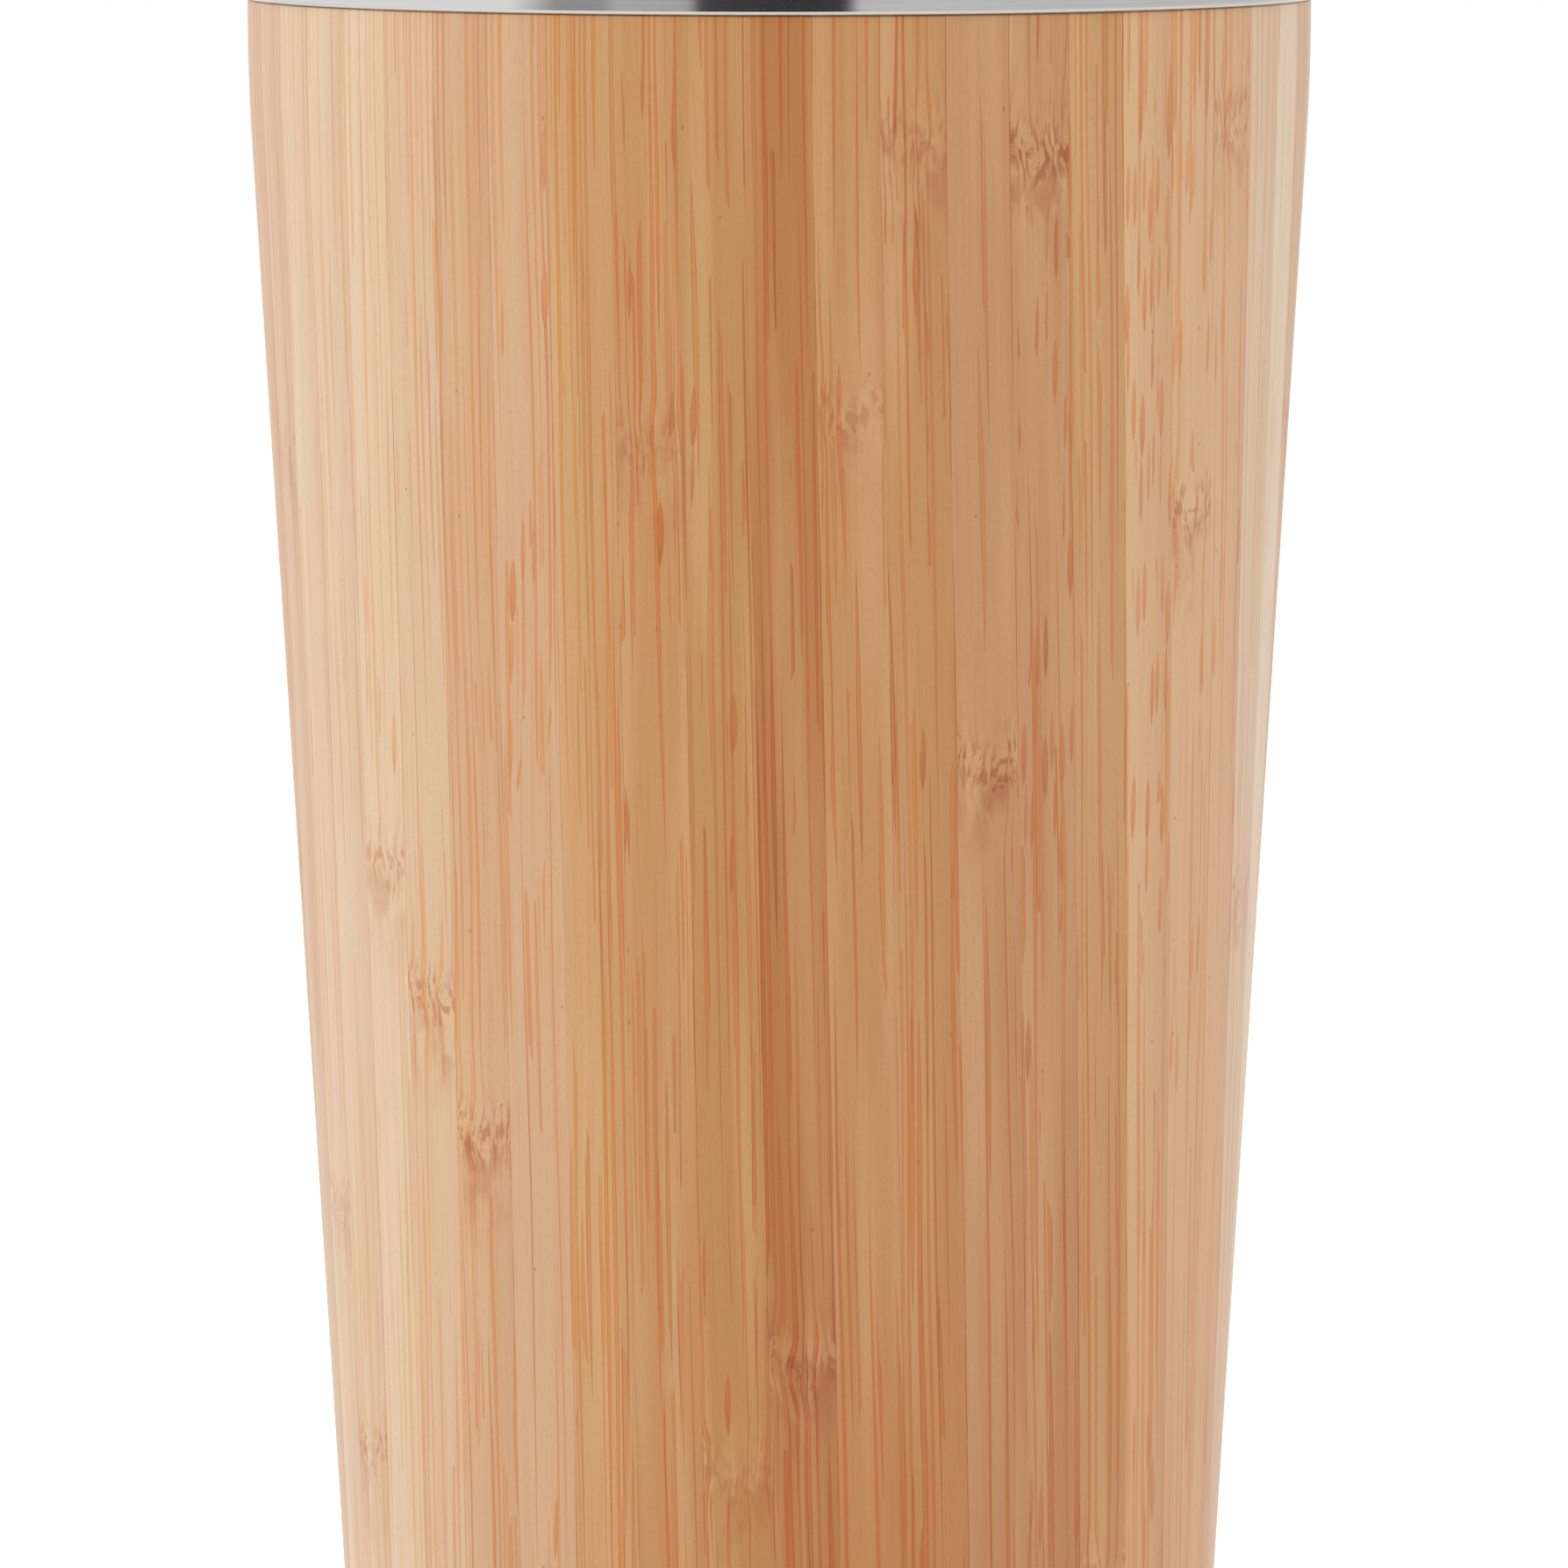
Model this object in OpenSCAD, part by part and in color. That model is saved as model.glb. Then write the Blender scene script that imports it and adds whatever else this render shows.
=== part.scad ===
// Tapered double-wall steel tumbler in a bamboo sleeve, with a push-in slide lid.
// Millimetres, +Z up. The origin is the centre of the foot's underside.
// The drinking side faces -Y.

/* [Bamboo sleeve] */
// Outer diameter of the bamboo at its top edge
sleeve_top_d = 85; // [80:0.5:95]
// Outer diameter of the bamboo at its bottom edge
sleeve_bottom_d = 67.5; // [62:0.5:76]
// Height of the bamboo
sleeve_h = 145; // [110:1:180]
// Height below the band over which the upright wall bends into its taper
sleeve_curve_h = 12; // [6:1:40]
// Wall of the bamboo
sleeve_wall = 4; // [3:0.25:5]
// Rounding of the bamboo's outer edges
sleeve_edge_r = 0.2; // [0.1:0.1:0.8]
// Glue line between bamboo and steel
glue_gap = 0.15; // [0.1:0.05:0.3]

/* [Steel body] */
// Thickness of the drawn steel sheet
steel_t = 0.5; // [0.4:0.05:0.7]
// Height of the bare steel band above the bamboo
band_h = 15; // [13:0.5:22]
// How far the band stands proud of the bamboo
band_proud = 0.35; // [0.1:0.05:0.8]
// Rounding of the band's lower edge
band_edge_r = 0.3; // [0.1:0.1:1.5]
// Width of the rolled lip, measured across the rim
lip_w = 3.6; // [3:0.1:4.6]
// Least gap between the two steel walls
vacuum_gap = 2; // [1.5:0.25:3]
// Height of the upright mouth under the lip
mouth_h = 8.4; // [8:0.2:10]
// Bend radius of the step under the mouth
step_r = 2.4; // [1:0.2:3]
// Inside corner radius of the cup's floor
floor_corner_r = 6; // [3:0.5:9]
// Width of the flat floor between its corner and the raised panel
floor_flat_w = 5.6; // [3:0.2:8]
// Height of the raised panel in the cup's floor
floor_panel_h = 0.8; // [0.4:0.1:1.2]

/* [Base] */
// Height of the bare steel cap below the bamboo
cap_h = 6; // [5:0.5:9]
// Corner radius of the cap's foot
cap_corner_r = 2; // [1:0.25:2.5]
// Height of the cap's collar inside the bamboo
collar_h = 5; // [3:0.5:8]
// Width of the cap's foot ring outside the silicone pad
foot_ring_w = 8.1; // [6:0.1:12]
// Thickness of the foot pad
pad_t = 1.8; // [1.4:0.1:2.2]
// How far the foot pad stands below the cap
pad_proud = 0.6; // [0.3:0.1:0.9]
// Height of the base disc's recess above the end of the shell
disc_recess = 3.2; // [2.4:0.2:4]
// Gap between the base disc and the cup's floor
floor_gap = 4; // [3.4:0.2:6]
// Radius of the dimple that holds the sealing bead
dimple_r = 5; // [4:0.5:7]
// Depth of the dimple
dimple_h = 1.4; // [1:0.1:1.6]
// Diameter of the evacuation hole
port_d = 1.4; // [1:0.2:2]
// Diameter of the sealing bead
bead_d = 5; // [3.5:0.25:6]
// Height of the sealing bead
bead_h = 1; // [0.6:0.1:1.4]
// Diameter of the getter
getter_d = 9; // [7:0.5:12]
// Thickness of the getter
getter_t = 1.2; // [0.8:0.1:1.4]

/* [Lid] */
// How far the lid's rim overhangs the steel band
lid_overhang = 0.8; // [0.4:0.1:1.5]
// Height of the lid above the lip
lid_h = 6.6; // [6.2:0.1:9]
// Width of the lid's raised rim
rim_w = 4.2; // [3:0.2:5]
// Rounding of the rim's top edges
rim_r = 1.6; // [0.8:0.1:1.8]
// Thickness of the lid's top plate
plate_t = 2.6; // [2.2:0.1:3]
// Gap between the plug's skirt and the mouth
plug_gap = 2; // [1.6:0.1:2.4]
// Thickness of the plug's skirt
skirt_t = 2.4; // [2.2:0.1:3]
// Depth of the plug below the lid's flange
skirt_h = 9.4; // [9.2:0.1:10]
// Depth of the seal groove
groove_d = 1.3; // [1:0.1:1.4]
// Height of the seal groove
groove_h = 5; // [4.4:0.1:5.4]
// Height of the groove above the plug's lower edge
groove_inset = 1.6; // [1.2:0.1:2]
// Air between the seal's lips and the mouth
seal_gap = 0.15; // [0.1:0.05:0.3]

/* [Slide closure] */
// Length of the slider
slider_l = 36; // [34:0.5:38]
// Width of the slider
slider_w = 21; // [20:0.5:23]
// Height of the slider's plate
slider_t = 3.2; // [2.8:0.1:3.4]
// Rounding of the slider's top edge
slider_r = 1; // [0.5:0.1:1.2]
// Travel of the slider from open to closed
slide_travel = 12; // [11:0.5:13]
// Depth of the track that guides the slider
track_d = 1.2; // [0.8:0.1:1.4]
// Running clearance round the slider
run_gap = 0.15; // [0.1:0.05:0.25]
// Width of the drink hole
drink_w = 12; // [9:0.5:13]
// Length of the drink hole, front to back
drink_l = 6; // [4.5:0.5:6.5]
// Diameter of the vent hole
vent_d = 2; // [1.5:0.25:3]
// Width of the stem under the slider
stem_w = 5; // [4:0.25:6]
// Length of the stem, front to back
stem_l = 7; // [6:0.25:8]
// Height of the thumb ridge above the slider's plate
ridge_h = 1.8; // [1.2:0.1:2]
// Length of the thumb ridge, side to side
ridge_l = 14; // [10:0.5:16]
// Thickness of the thumb ridge, front to back
ridge_w = 4.4; // [3:0.2:6]
// Thickness of the retaining clip
clip_t = 1.6; // [1.2:0.1:2]
// How far the clip reaches past the stem all round
clip_rim = 3; // [2.4:0.1:3.6]

/* [Hidden] */
$fn = 96;

// Steps of each rounded bend, and of the sleeve's long curve
bend_step_deg = 15;
curve_steps = 8;
// Overrun of every cut
over = 1;
// Points closer than this are one point
tiny = 0.001;
// Distance from the lip's centre down to the weld between the two walls
weld_drop = 1.2;
// Assembly gaps: fitted steel, the lid on the lip, and the shell above the cap's floor
fit_gap = 0.05;
lid_seat_gap = 0.2;
shell_seat_gap = 0.3;
// Small bends and edges
bend_r = 0.8;
edge_r = 0.5;
// Details of the foot pad's grip rings
pad_groove_w = 1.2;
pad_groove_t = 0.4;
pad_groove_shares = [0.45, 0.7];
// Details of the getter's trough
getter_trough_share = 0.5;
// Lips of the lid's seal
seal_lips = 2;
lip_root_share = 0.36;
lip_tip_share = 0.13;
lip_rise_share = 0.1;
// Pocket and pad under the slider's front end
pocket_t = 1.1;
pad_margin = 1.3;
pad_rub_gap = 0.05;
// Depth by which the ridge and the stem run into the slider's plate, as one moulding
root_d = 0.6;
// Snap head of the stem
head_h = 0.8;
head_lip = 0.45;
slit_w = 1;
slit_h = 2.6;
// Grip ribs beside the thumb ridge
rib_count = 3;
rib_d = 0.8;
rib_pitch = 2;
rib_l = 11;
// Distances from the track's front end back to the drink hole, and from its rear end to the vent
drink_inset = 3.4;
vent_set_back = 8;
// Inclination of the rim's inner wall, as a run over its height
rim_draft = 0.5;

// Heights, from the foot upward
sleeve_z = cap_h;
band_z = sleeve_z + sleeve_h;
lip_z = band_z + band_h;
cap_floor_z = pad_t + steel_t;
shell_end_z = cap_floor_z + shell_seat_gap;
disc_z = shell_end_z + disc_recess;
cup_under_z = disc_z + steel_t + floor_gap;
cup_floor_z = cup_under_z + steel_t;

// Radii of the sleeve and of the walls inside it
sleeve_top_r = sleeve_top_d / 2;
sleeve_bottom_r = sleeve_bottom_d / 2;
taper = (sleeve_top_r - sleeve_bottom_r) / (sleeve_h - sleeve_curve_h / 2);
bore_slope = (sleeve_top_r - sleeve_bottom_r) / sleeve_h;
slant = sqrt(1 + bore_slope * bore_slope);
wall_t = steel_t * slant;
function bore_r(z) = sleeve_bottom_r - sleeve_wall + bore_slope * (z - sleeve_z);
function shell_r(z) = bore_r(z) - glue_gap;
function shell_in_r(z) = shell_r(z) - wall_t;
function cup_out_r(z) = shell_in_r(z) - vacuum_gap;
function cup_in_r(z) = cup_out_r(z) - wall_t;
function sleeve_r(depth) = depth < sleeve_curve_h
    ? sleeve_top_r - taper * depth * depth / (2 * sleeve_curve_h)
    : sleeve_top_r - taper * (depth - sleeve_curve_h / 2);

// Foot of the base cap, and the pad inside its ring
foot_r = sleeve_bottom_r - taper * sleeve_z;
pad_r = foot_r - foot_ring_w;

// Mouth, lip and the step below them
band_r = sleeve_top_r + band_proud;
lip_r = lip_w / 2;
mouth_r = band_r - lip_w;
lip_top_z = lip_z + lip_r;
weld_z = lip_z - weld_drop;
step_top_z = lip_z - mouth_h;
step_w = (mouth_r - cup_in_r(step_top_z)) / (1 - bore_slope);
step_low_z = step_top_z - step_w;

// Lid
flange_z = lip_top_z + lid_seat_gap;
plate_z = flange_z + plate_t;
rim_top_z = flange_z + lid_h;
flange_r = band_r + lid_overhang;
rim_in_r = flange_r - rim_w;
skirt_r = mouth_r - plug_gap;
skirt_z = flange_z - skirt_h;
groove_z = skirt_z + groove_inset;
groove_r = skirt_r - groove_d;

// Slide closure, in the lid's middle plane
track_z = plate_z - track_d;
track_l = slider_l + slide_travel + 2 * run_gap;
track_front_y = -skirt_r;
slider_y = track_front_y + run_gap + slider_l / 2 + slide_travel;
slider_z = track_z + run_gap;
drink_y = track_front_y + drink_inset + drink_l / 2;
stem_y = slider_y;
stem_z = flange_z - run_gap - clip_t - head_h;
pad_w = drink_w + 2 * pad_margin;
pad_l = drink_l + 2 * pad_margin;
pad_z = track_z + pad_rub_gap;

// One unit from a toward b
function toward(a, b) = (b - a) / norm(b - a);
function flat(p) = [p[0], p[1]];

// Arc that rounds the corner b between a and c with radius r
function bend(a, b, c, r) =
    let (
        u = toward(b, a),
        v = toward(b, c),
        half = acos(min(1, max(-1, u * v))) / 2,
        centre = b + toward([0, 0], u + v) * r / sin(half),
        start = b + u * r / tan(half) - centre,
        turn = sign(cross(b - a, c - b)) * (180 - 2 * half),
        steps = max(2, ceil(abs(turn) / bend_step_deg))
    )
    [for (i = [0 : steps])
        let (s = sin(turn * i / steps), k = cos(turn * i / steps))
        centre + [start[0] * k - start[1] * s, start[0] * s + start[1] * k]];

// Leaves out each point that repeats the one before it
function distinct(points) =
    [for (i = [0 : len(points) - 1]) if (i == 0 || norm(points[i] - points[i - 1]) > tiny) points[i]];

// Outline through [r, z, bend radius] points; a closed outline also bends at its first and last points
function rounded(path, closed = false) =
    let (n = len(path))
    distinct([for (i = [0 : n - 1])
        let (b = path[i], ends = !closed && (i == 0 || i == n - 1))
        for (p = b[2] > 0 && !ends
            ? bend(flat(path[(i + n - 1) % n]), flat(b), flat(path[(i + 1) % n]), b[2])
            : [flat(b)]) p]);

// Path beside another at distance d, to its left, with each bend's radius changed to suit
function beside(path, d) =
    let (n = len(path))
    [for (i = [0 : n - 1])
        let (
            before = toward(flat(path[max(0, i - 1)]), flat(path[max(1, i)])),
            after = toward(flat(path[min(n - 2, i)]), flat(path[min(n - 1, i + 1)])),
            mid = toward([0, 0], before + after),
            p = flat(path[i]) + [-mid[1], mid[0]] * d / (before * mid)
        )
        [p[0], p[1], path[i][2] > 0 ? max(0, path[i][2] - sign(cross(before, after)) * d) : 0]];

function reversed(list) = [for (i = [len(list) - 1 : -1 : 0]) list[i]];

// Sheet of thickness t that follows a path, on its left, turned about the axis
module spun_sheet(path, t) {
    rotate_extrude() polygon(concat(rounded(path), rounded(reversed(beside(path, t)))));
}

// Closed outline with rounded corners, turned about the axis
module spun(path) {
    rotate_extrude() polygon(rounded(path, true));
}

// Flat oblong with round ends, long along Y
module oblong(l, w) {
    square([w, l - w], center = true);
    for (side = [-1, 1]) translate([0, side * (l - w) / 2]) circle(d = w);
}

// Oblong plate, long along Y, whose upper edge is rounded with radius r
module pill(l, w, h, r) {
    half = rounded([[0, 0, 0], [w / 2, 0, 0], [w / 2, h, r], [0, h, 0]]);
    rotate([90, 0, 0]) linear_extrude(l - w, center = true) {
        polygon(half);
        mirror([1, 0]) polygon(half);
    }
    for (side = [-1, 1]) translate([0, side * (l - w) / 2, 0])
        rotate([0, 0, side > 0 ? 0 : 180]) rotate_extrude(angle = 180) polygon(half);
}

// Drawn inner cup: floor with a raised panel, taper, step, mouth and the lip rolled over outward
module inner_cup() {
    panel_z = cup_floor_z + floor_panel_h;
    corner_r = cup_in_r(cup_floor_z);
    panel_r = corner_r - floor_corner_r - floor_flat_w;
    color("lightsteelblue") spun_sheet([
        [band_r, weld_z, 0],
        [band_r, lip_top_z, lip_r],
        [mouth_r, lip_top_z, lip_r],
        [mouth_r, step_top_z, step_r],
        [cup_in_r(step_low_z), step_low_z, step_r],
        [corner_r, cup_floor_z, floor_corner_r],
        [panel_r + floor_panel_h, cup_floor_z, edge_r],
        [panel_r, panel_z, edge_r],
        [0, panel_z, 0]
    ], steel_t);
}

// Outer shell: taper under the bamboo, shoulder on the bamboo's top edge, and the bare band
module outer_shell() {
    color("silver") spun_sheet([
        [shell_r(shell_end_z), shell_end_z, 0],
        [shell_r(band_z), band_z, bend_r],
        [band_r, band_z, band_edge_r],
        [band_r, weld_z, 0]
    ], steel_t);
}

// Pressed disc that closes the vacuum, with a dimple and port at its centre and a rim inside the shell
module base_disc() {
    top_z = disc_z + steel_t;
    color("lightgray") spun_sheet([
        [shell_in_r(shell_end_z) - fit_gap, shell_end_z, 0],
        [shell_in_r(top_z) - fit_gap, top_z, bend_r + steel_t],
        [dimple_r + dimple_h, top_z, edge_r],
        [dimple_r, top_z + dimple_h, edge_r],
        [port_d / 2, top_z + dimple_h, 0]
    ], steel_t);
}

// Glass bead that seals the port, domed downward
module vacuum_seal() {
    seat_z = disc_z + dimple_h;
    dome_r = (bead_d * bead_d / 4 + bead_h * bead_h) / (2 * bead_h);
    color("darkslategray") translate([0, 0, seat_z]) rotate_extrude() intersection() {
        translate([0, -bead_h]) square([bead_d / 2, bead_h]);
        translate([0, dome_r - bead_h]) circle(dome_r);
    }
}

// Getter disc under the cup's floor, with a ring trough
module getter() {
    top_z = cup_under_z + floor_panel_h;
    color("dimgray") translate([0, 0, top_z - getter_t]) difference() {
        cylinder(d = getter_d, h = getter_t);
        translate([0, 0, -over]) difference() {
            cylinder(d = getter_d * (1 + getter_trough_share) / 2, h = over + getter_t * getter_trough_share);
            cylinder(d = getter_d * (1 - getter_trough_share) / 2, h = over + getter_t);
        }
    }
}

// Sleeve of laminated bamboo board bent round the taper, rebated below for the cap's collar
// and eased above for the shell's bend
module bamboo_sleeve() {
    rebate_z = sleeve_z + collar_h + glue_gap;
    rebate_r = bore_r(rebate_z) + fit_gap + wall_t;
    color("burlywood") spun(concat(
        [
            [rebate_r + bend_r, sleeve_z, 0],
            [sleeve_r(sleeve_h), sleeve_z, sleeve_edge_r]
        ],
        [for (i = [0 : curve_steps]) let (depth = sleeve_curve_h * (1 - i / curve_steps))
            [sleeve_r(depth), band_z - depth, i < curve_steps ? 0 : sleeve_edge_r]],
        [
            [bore_r(band_z) + bend_r, band_z, 0],
            [bore_r(band_z - bend_r), band_z - bend_r, 0],
            [bore_r(rebate_z), rebate_z, 0],
            [rebate_r, rebate_z, 0],
            [rebate_r, sleeve_z + bend_r, 0]
        ]
    ));
}

// Steel base cap: pad recess, foot, wall, ledge under the bamboo and collar on the shell
module base_cap() {
    function collar_r(z) = shell_r(z) + fit_gap + wall_t;
    recess_r = pad_r + fit_gap;
    collar_top_z = sleeve_z + collar_h;
    color("silver") spun_sheet([
        [0, pad_t, 0],
        [recess_r, pad_t, edge_r],
        [recess_r + edge_r, pad_proud, edge_r],
        [foot_r, pad_proud, cap_corner_r],
        [sleeve_bottom_r, sleeve_z, bend_r],
        [collar_r(sleeve_z), sleeve_z, edge_r],
        [collar_r(collar_top_z), collar_top_z, 0]
    ], steel_t);
}

// Silicone foot pad with grip rings in its underside
module foot_pad() {
    color("darkgray") difference() {
        spun([[0, 0, 0], [pad_r, 0, pad_proud / 2], [pad_r, pad_t, edge_r], [0, pad_t, 0]]);
        for (share = pad_groove_shares) translate([0, 0, -over]) difference() {
            cylinder(r = pad_r * share + pad_groove_w / 2, h = over + pad_groove_t);
            cylinder(r = pad_r * share - pad_groove_w / 2, h = over + pad_t);
        }
    }
}

// Lid: flange on the lip, raised rim, plug skirt with its seal groove, and the slider's track
module lid_body() {
    color("dimgray") difference() {
        spun([
            [0, flange_z, 0],
            [skirt_r - skirt_t, flange_z, bend_r],
            [skirt_r - skirt_t, skirt_z, edge_r],
            [skirt_r, skirt_z, edge_r],
            [skirt_r, groove_z, 0],
            [groove_r, groove_z, 0],
            [groove_r, groove_z + groove_h, 0],
            [skirt_r, groove_z + groove_h, 0],
            [skirt_r, flange_z, edge_r],
            [flange_r, flange_z, edge_r],
            [flange_r, rim_top_z, rim_r],
            [rim_in_r, rim_top_z, rim_r],
            [rim_in_r - rim_draft, plate_z, bend_r],
            [0, plate_z, 0]
        ]);
        translate([0, track_front_y + track_l / 2, track_z])
            linear_extrude(track_d + over) oblong(track_l, slider_w + 2 * run_gap);
        translate([0, stem_y - slide_travel / 2, flange_z - over]) linear_extrude(plate_t + over)
            oblong(stem_l + slide_travel + 2 * run_gap, stem_w + 2 * run_gap);
        translate([0, drink_y, flange_z - over]) rotate([0, 0, 90])
            linear_extrude(plate_t + over) oblong(drink_w, drink_l);
        translate([0, track_front_y + track_l + vent_set_back, flange_z - over])
            cylinder(d = vent_d, h = plate_t + 2 * over);
    }
}

// Silicone ring in the plug's groove, with lips that rise toward the mouth's wall
module lid_seal() {
    back_r = groove_r + fit_gap;
    low_z = groove_z + fit_gap;
    ring_h = groove_h - 2 * fit_gap;
    pitch = ring_h / seal_lips;
    root = ring_h * lip_root_share;
    tip = ring_h * lip_tip_share;
    rise = ring_h * lip_rise_share;
    tip_r = mouth_r - seal_gap;
    color("gainsboro") spun(concat(
        [[back_r, low_z, 0], [skirt_r, low_z, 0]],
        [for (i = [0 : seal_lips - 1]) let (mid = low_z + pitch * (i + 1 / 2))
            for (p = [
                [skirt_r, mid - root / 2, 0],
                [tip_r, mid - tip / 2 + rise, tip / 2],
                [tip_r, mid + tip / 2 + rise, tip / 2],
                [skirt_r, mid + root / 2, 0]
            ]) p],
        [[skirt_r, low_z + ring_h, 0], [back_r, low_z + ring_h, 0]]
    ));
}

// Slider: plate in the track, thumb ridge with grip ribs, pad pocket, and stem with a split snap head
module slider() {
    plate_top = slider_z + slider_t;
    rib_first_y = stem_y - ridge_w / 2 - rib_pitch;
    color("dimgray") {
        difference() {
            translate([0, slider_y, slider_z]) pill(slider_l, slider_w, slider_t, slider_r);
            translate([0, drink_y + slide_travel, slider_z - over]) rotate([0, 0, 90])
                linear_extrude(pocket_t + over) oblong(pad_w + 2 * fit_gap, pad_l + 2 * fit_gap);
        }
        translate([0, stem_y, plate_top - root_d]) rotate([0, 0, 90])
            pill(ridge_l, ridge_w, ridge_h + root_d, slider_r);
        for (i = [0 : rib_count - 1]) translate([0, rib_first_y - i * rib_pitch, plate_top])
            rotate([0, 90, 0]) cylinder(d = rib_d, h = rib_l, center = true);
        difference() {
            union() {
                translate([0, stem_y, stem_z]) linear_extrude(slider_z + root_d - stem_z)
                    oblong(stem_l, stem_w);
                translate([0, stem_y, stem_z]) linear_extrude(head_h)
                    oblong(stem_l + 2 * head_lip, stem_w + 2 * head_lip);
            }
            translate([-slit_w / 2, stem_y - stem_l, stem_z - over]) cube([slit_w, 2 * stem_l, slit_h + over]);
        }
    }
}

// Silicone pad in the slider's pocket, which covers the drink hole when the slider is forward
module slider_seal() {
    pad_top_z = slider_z + pocket_t;
    color("gainsboro") translate([0, drink_y + slide_travel, pad_z]) rotate([0, 0, 90])
        linear_extrude(pad_top_z - pad_z) oblong(pad_w, pad_l);
}

// Clip under the lid's plate that the stem snaps through
module slider_clip() {
    color("gray") translate([0, stem_y, stem_z + head_h]) difference() {
        pill(stem_l + 2 * clip_rim, stem_w + 2 * clip_rim, clip_t, edge_r);
        translate([0, 0, -over]) linear_extrude(clip_t + 2 * over)
            oblong(stem_l + 2 * fit_gap, stem_w + 2 * fit_gap);
    }
}

inner_cup();
outer_shell();
base_disc();
vacuum_seal();
getter();
bamboo_sleeve();
base_cap();
foot_pad();
lid_body();
lid_seal();
slider();
slider_seal();
slider_clip();
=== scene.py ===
"""Looks of the bamboo-sleeved steel tumbler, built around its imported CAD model.

Metres, in the CAD's frame: +Z up, the foot's underside at z = 0, the drinking side toward -Y.
"""

import math
from collections import namedtuple
from types import SimpleNamespace

import bpy
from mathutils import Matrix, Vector


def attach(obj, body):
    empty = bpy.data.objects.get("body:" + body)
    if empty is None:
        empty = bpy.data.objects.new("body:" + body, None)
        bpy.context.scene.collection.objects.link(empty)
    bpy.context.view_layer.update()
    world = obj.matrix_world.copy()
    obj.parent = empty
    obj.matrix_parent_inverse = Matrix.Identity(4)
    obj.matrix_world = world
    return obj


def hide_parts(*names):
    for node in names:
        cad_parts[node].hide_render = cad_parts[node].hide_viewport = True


MM = 0.001

# Sizes repeated from the CAD, in millimetres
SLEEVE_TOP_R = 42.5
SLEEVE_BOTTOM_R = 33.75
SLEEVE_H = 145.0
SLEEVE_Z = 6.0
SLEEVE_CURVE_H = 12.0
SLEEVE_WALL = 4.0
SLEEVE_EDGE_R = 0.2
TAPER = (SLEEVE_TOP_R - SLEEVE_BOTTOM_R) / (SLEEVE_H - SLEEVE_CURVE_H / 2)
BORE_SLOPE = (SLEEVE_TOP_R - SLEEVE_BOTTOM_R) / SLEEVE_H
REBATE_H = 5.15
REBATE_GROW = 0.55
BORE_EASE = 0.8
BAND_Z = SLEEVE_Z + SLEEVE_H

# The sleeve's own mesh: its steps round the axis, its rows as depths below the band in millimetres, the
# angles that its rounded edges span in degrees, and the heights of its two sides in the bake map
SLEEVE_STEPS = 360
TAPER_ROWS = range(140, 13, -7)
CURVE_ROWS = (12, 10, 8, 6, 4, 2, 1)
FOOT_EDGE = (-90, -2)
HEAD_EDGE = (0, 90)
EDGE_STEPS = 5
OUTSIDE_ROWS = (0.36, 0.99)
INSIDE_ROWS = (0.01, 0.34)
SHARP_ANGLE = math.radians(35)

# The board that is bent round the taper: strips of one width, in line with the cone at one place
STRIP_W = 5.33
STRIP_SHIFT = 5.2
BOARD_TURN = math.radians(-18)
BOARD_SLANT = 0.0655
SLANT_SIN = math.sin(math.atan(BOARD_SLANT))
APEX_TOP = SLEEVE_TOP_R / SLANT_SIN

# The photograph's camera: places and clipping in metres, lens and sensor in millimetres
CAMERA_X = 0.00038
CAMERA_DISTANCE = 1.6
CAMERA_Z = 0.205
CAMERA_PITCH = math.radians(4.1845)
CAMERA_LENS = 459.4
SENSOR_W = 36
NEAR_CLIP = 0.05
FAR_CLIP = 50

# The studio, in metres and watts
FLOOR_R = 1.7
FLOOR_SIDES = 96
FLOOR_DROP = 0.00002
FLOOR_GLOW_SEEN = 0.22
FLOOR_GLOW_MIRRORED = 0.03
FLOOR_PALE = (0.93, 0.93, 0.93, 1)
FLOOR_DULL = (0.9, 0.9, 0.9, 1)
KEY_PLACE = (-0.55, -1.25, 1.1)
KEY_AIM = (0, 0, 0.09)
KEY_SIZE = 0.9
KEY_POWER = 7
TOP_LEVEL = 1.02

# Level of the world's light by direction, in degrees from the camera's side toward the right
RING_LEVELS = [
    (-180, 0.95),
    (-152, 0.98),
    (-146, 1.06),
    (-60, 1.06),
    (-54, 0.7),
    (-49, 0.4),
    (-38, 0.42),
    (-35, 0.6),
    (-19, 0.56),
    (-17, 0.07),
    (-6, 0.05),
    (15, 0.04),
    (16.5, 0.76),
    (60, 0.76),
    (120, 0.8),
    (180, 0.95),
]


def srgb(red, green, blue):
    """Linear colour of an 8-bit sRGB one."""
    def linear(value):
        share = value / 255
        return share / 12.92 if share <= 0.04045 else ((share + 0.055) / 1.055) ** 2.4
    return (linear(red), linear(green), linear(blue), 1.0)


class Term:
    """A value in a node tree. Arithmetic on it adds Math nodes."""

    def __init__(self, graph, socket):
        self.graph = graph
        self.socket = socket

    def __add__(self, other):
        return self.graph.math("ADD", self, other)

    __radd__ = __add__

    def __sub__(self, other):
        return self.graph.math("SUBTRACT", self, other)

    def __rsub__(self, other):
        return self.graph.math("SUBTRACT", other, self)

    def __mul__(self, other):
        return self.graph.math("MULTIPLY", self, other)

    __rmul__ = __mul__

    def __truediv__(self, other):
        return self.graph.math("DIVIDE", self, other)

    def __abs__(self):
        return self.graph.math("ABSOLUTE", self)


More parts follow.
